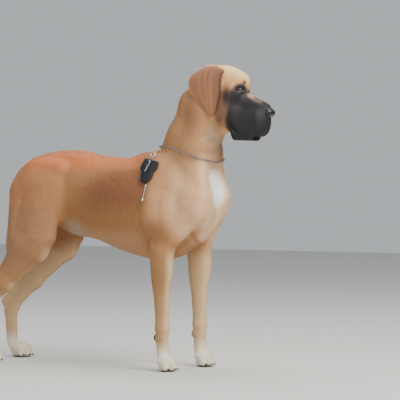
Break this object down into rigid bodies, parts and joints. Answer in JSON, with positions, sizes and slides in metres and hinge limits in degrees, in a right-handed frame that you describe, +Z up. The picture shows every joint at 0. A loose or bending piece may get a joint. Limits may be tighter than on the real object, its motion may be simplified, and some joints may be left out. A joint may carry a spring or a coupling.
{
  "type": "great dane figure",
  "caption": "Life-size still figure of a standing fawn great dane with black mask, drop ears and a thin chain collar with a hanging tag.",
  "frame": {"origin": "on the floor under the middle of the figure's bounding box", "axes": "+X towards the nose, +Y to the dog's left, +Z up"},
  "size_m": [1.2573, 0.3096, 1.1535],
  "materials": {
    "coat": "short smooth fawn coat",
    "ear": "short velvety brown coat",
    "eye": "glossy dark brown",
    "nose": "moist black, fine pebbled",
    "claw": "dark horn",
    "chain": "dulled fine chain",
    "metal": "worn plated metal",
    "fob": "black, soft sheen"
  },
  "bodies": {
    "root": {"collar_chain": "chain", "collar_link": "chain", "collar_ring": "metal", "ear_left": "ear", "ear_right": "ear", "eye_left": "eye", "eye_right": "eye", "front_claw_left_1": "claw", "front_claw_left_2": "claw", "front_claw_left_3": "claw", "front_claw_left_4": "claw", "front_claw_right_1": "claw", "front_claw_right_2": "claw", "front_claw_right_3": "claw", "front_claw_right_4": "claw", "front_leg_left": "coat", "front_leg_right": "coat", "front_paw_left": "coat", "front_paw_right": "coat", "head": "coat", "hind_claw_left_1": "claw", "hind_claw_left_2": "claw", "hind_claw_left_3": "claw", "hind_claw_left_4": "claw", "hind_claw_right_1": "claw", "hind_claw_right_2": "claw", "hind_claw_right_3": "claw", "hind_claw_right_4": "claw", "hind_leg_left": "coat", "hind_leg_right": "coat", "hind_paw_left": "coat", "hind_paw_right": "coat", "neck": "coat", "nose": "nose", "snap_hook": "metal", "tag_fob": "fob", "tag_rod": "metal", "tail": "coat", "torso": "coat"}
  },
  "joints": []
}
